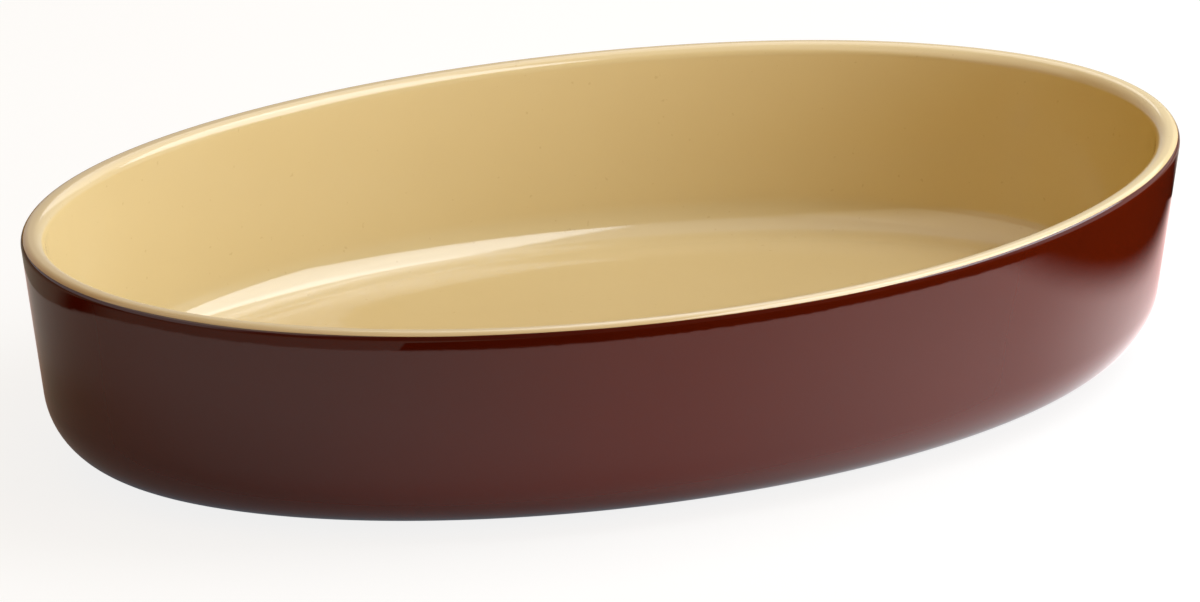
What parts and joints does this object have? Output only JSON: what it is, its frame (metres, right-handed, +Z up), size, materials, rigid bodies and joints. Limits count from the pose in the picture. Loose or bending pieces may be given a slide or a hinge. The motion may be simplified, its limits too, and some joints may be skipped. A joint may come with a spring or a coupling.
{
  "type": "oval baking dish",
  "caption": "Deep oval stoneware baking dish with a leaning wall and rounded lip, cream glaze inside and over the rim, oxblood glaze outside, for roasting and serving food.",
  "frame": {"origin": "on the table under the middle of the dish: the centre of the plane that the foot ring stands on", "axes": "+X along the long axis of the oval, +Y across it, +Z up out of the dish"},
  "size_m": [0.32, 0.204, 0.0605],
  "materials": {
    "stoneware_clay": "matte",
    "cream_glaze": "gloss",
    "oxblood_glaze": "gloss"
  },
  "bodies": {
    "root": {"stoneware_body": "stoneware_clay", "cream_liner_glaze": "cream_glaze", "oxblood_outer_glaze": "oxblood_glaze", "oxblood_base_glaze": "oxblood_glaze"}
  },
  "joints": []
}
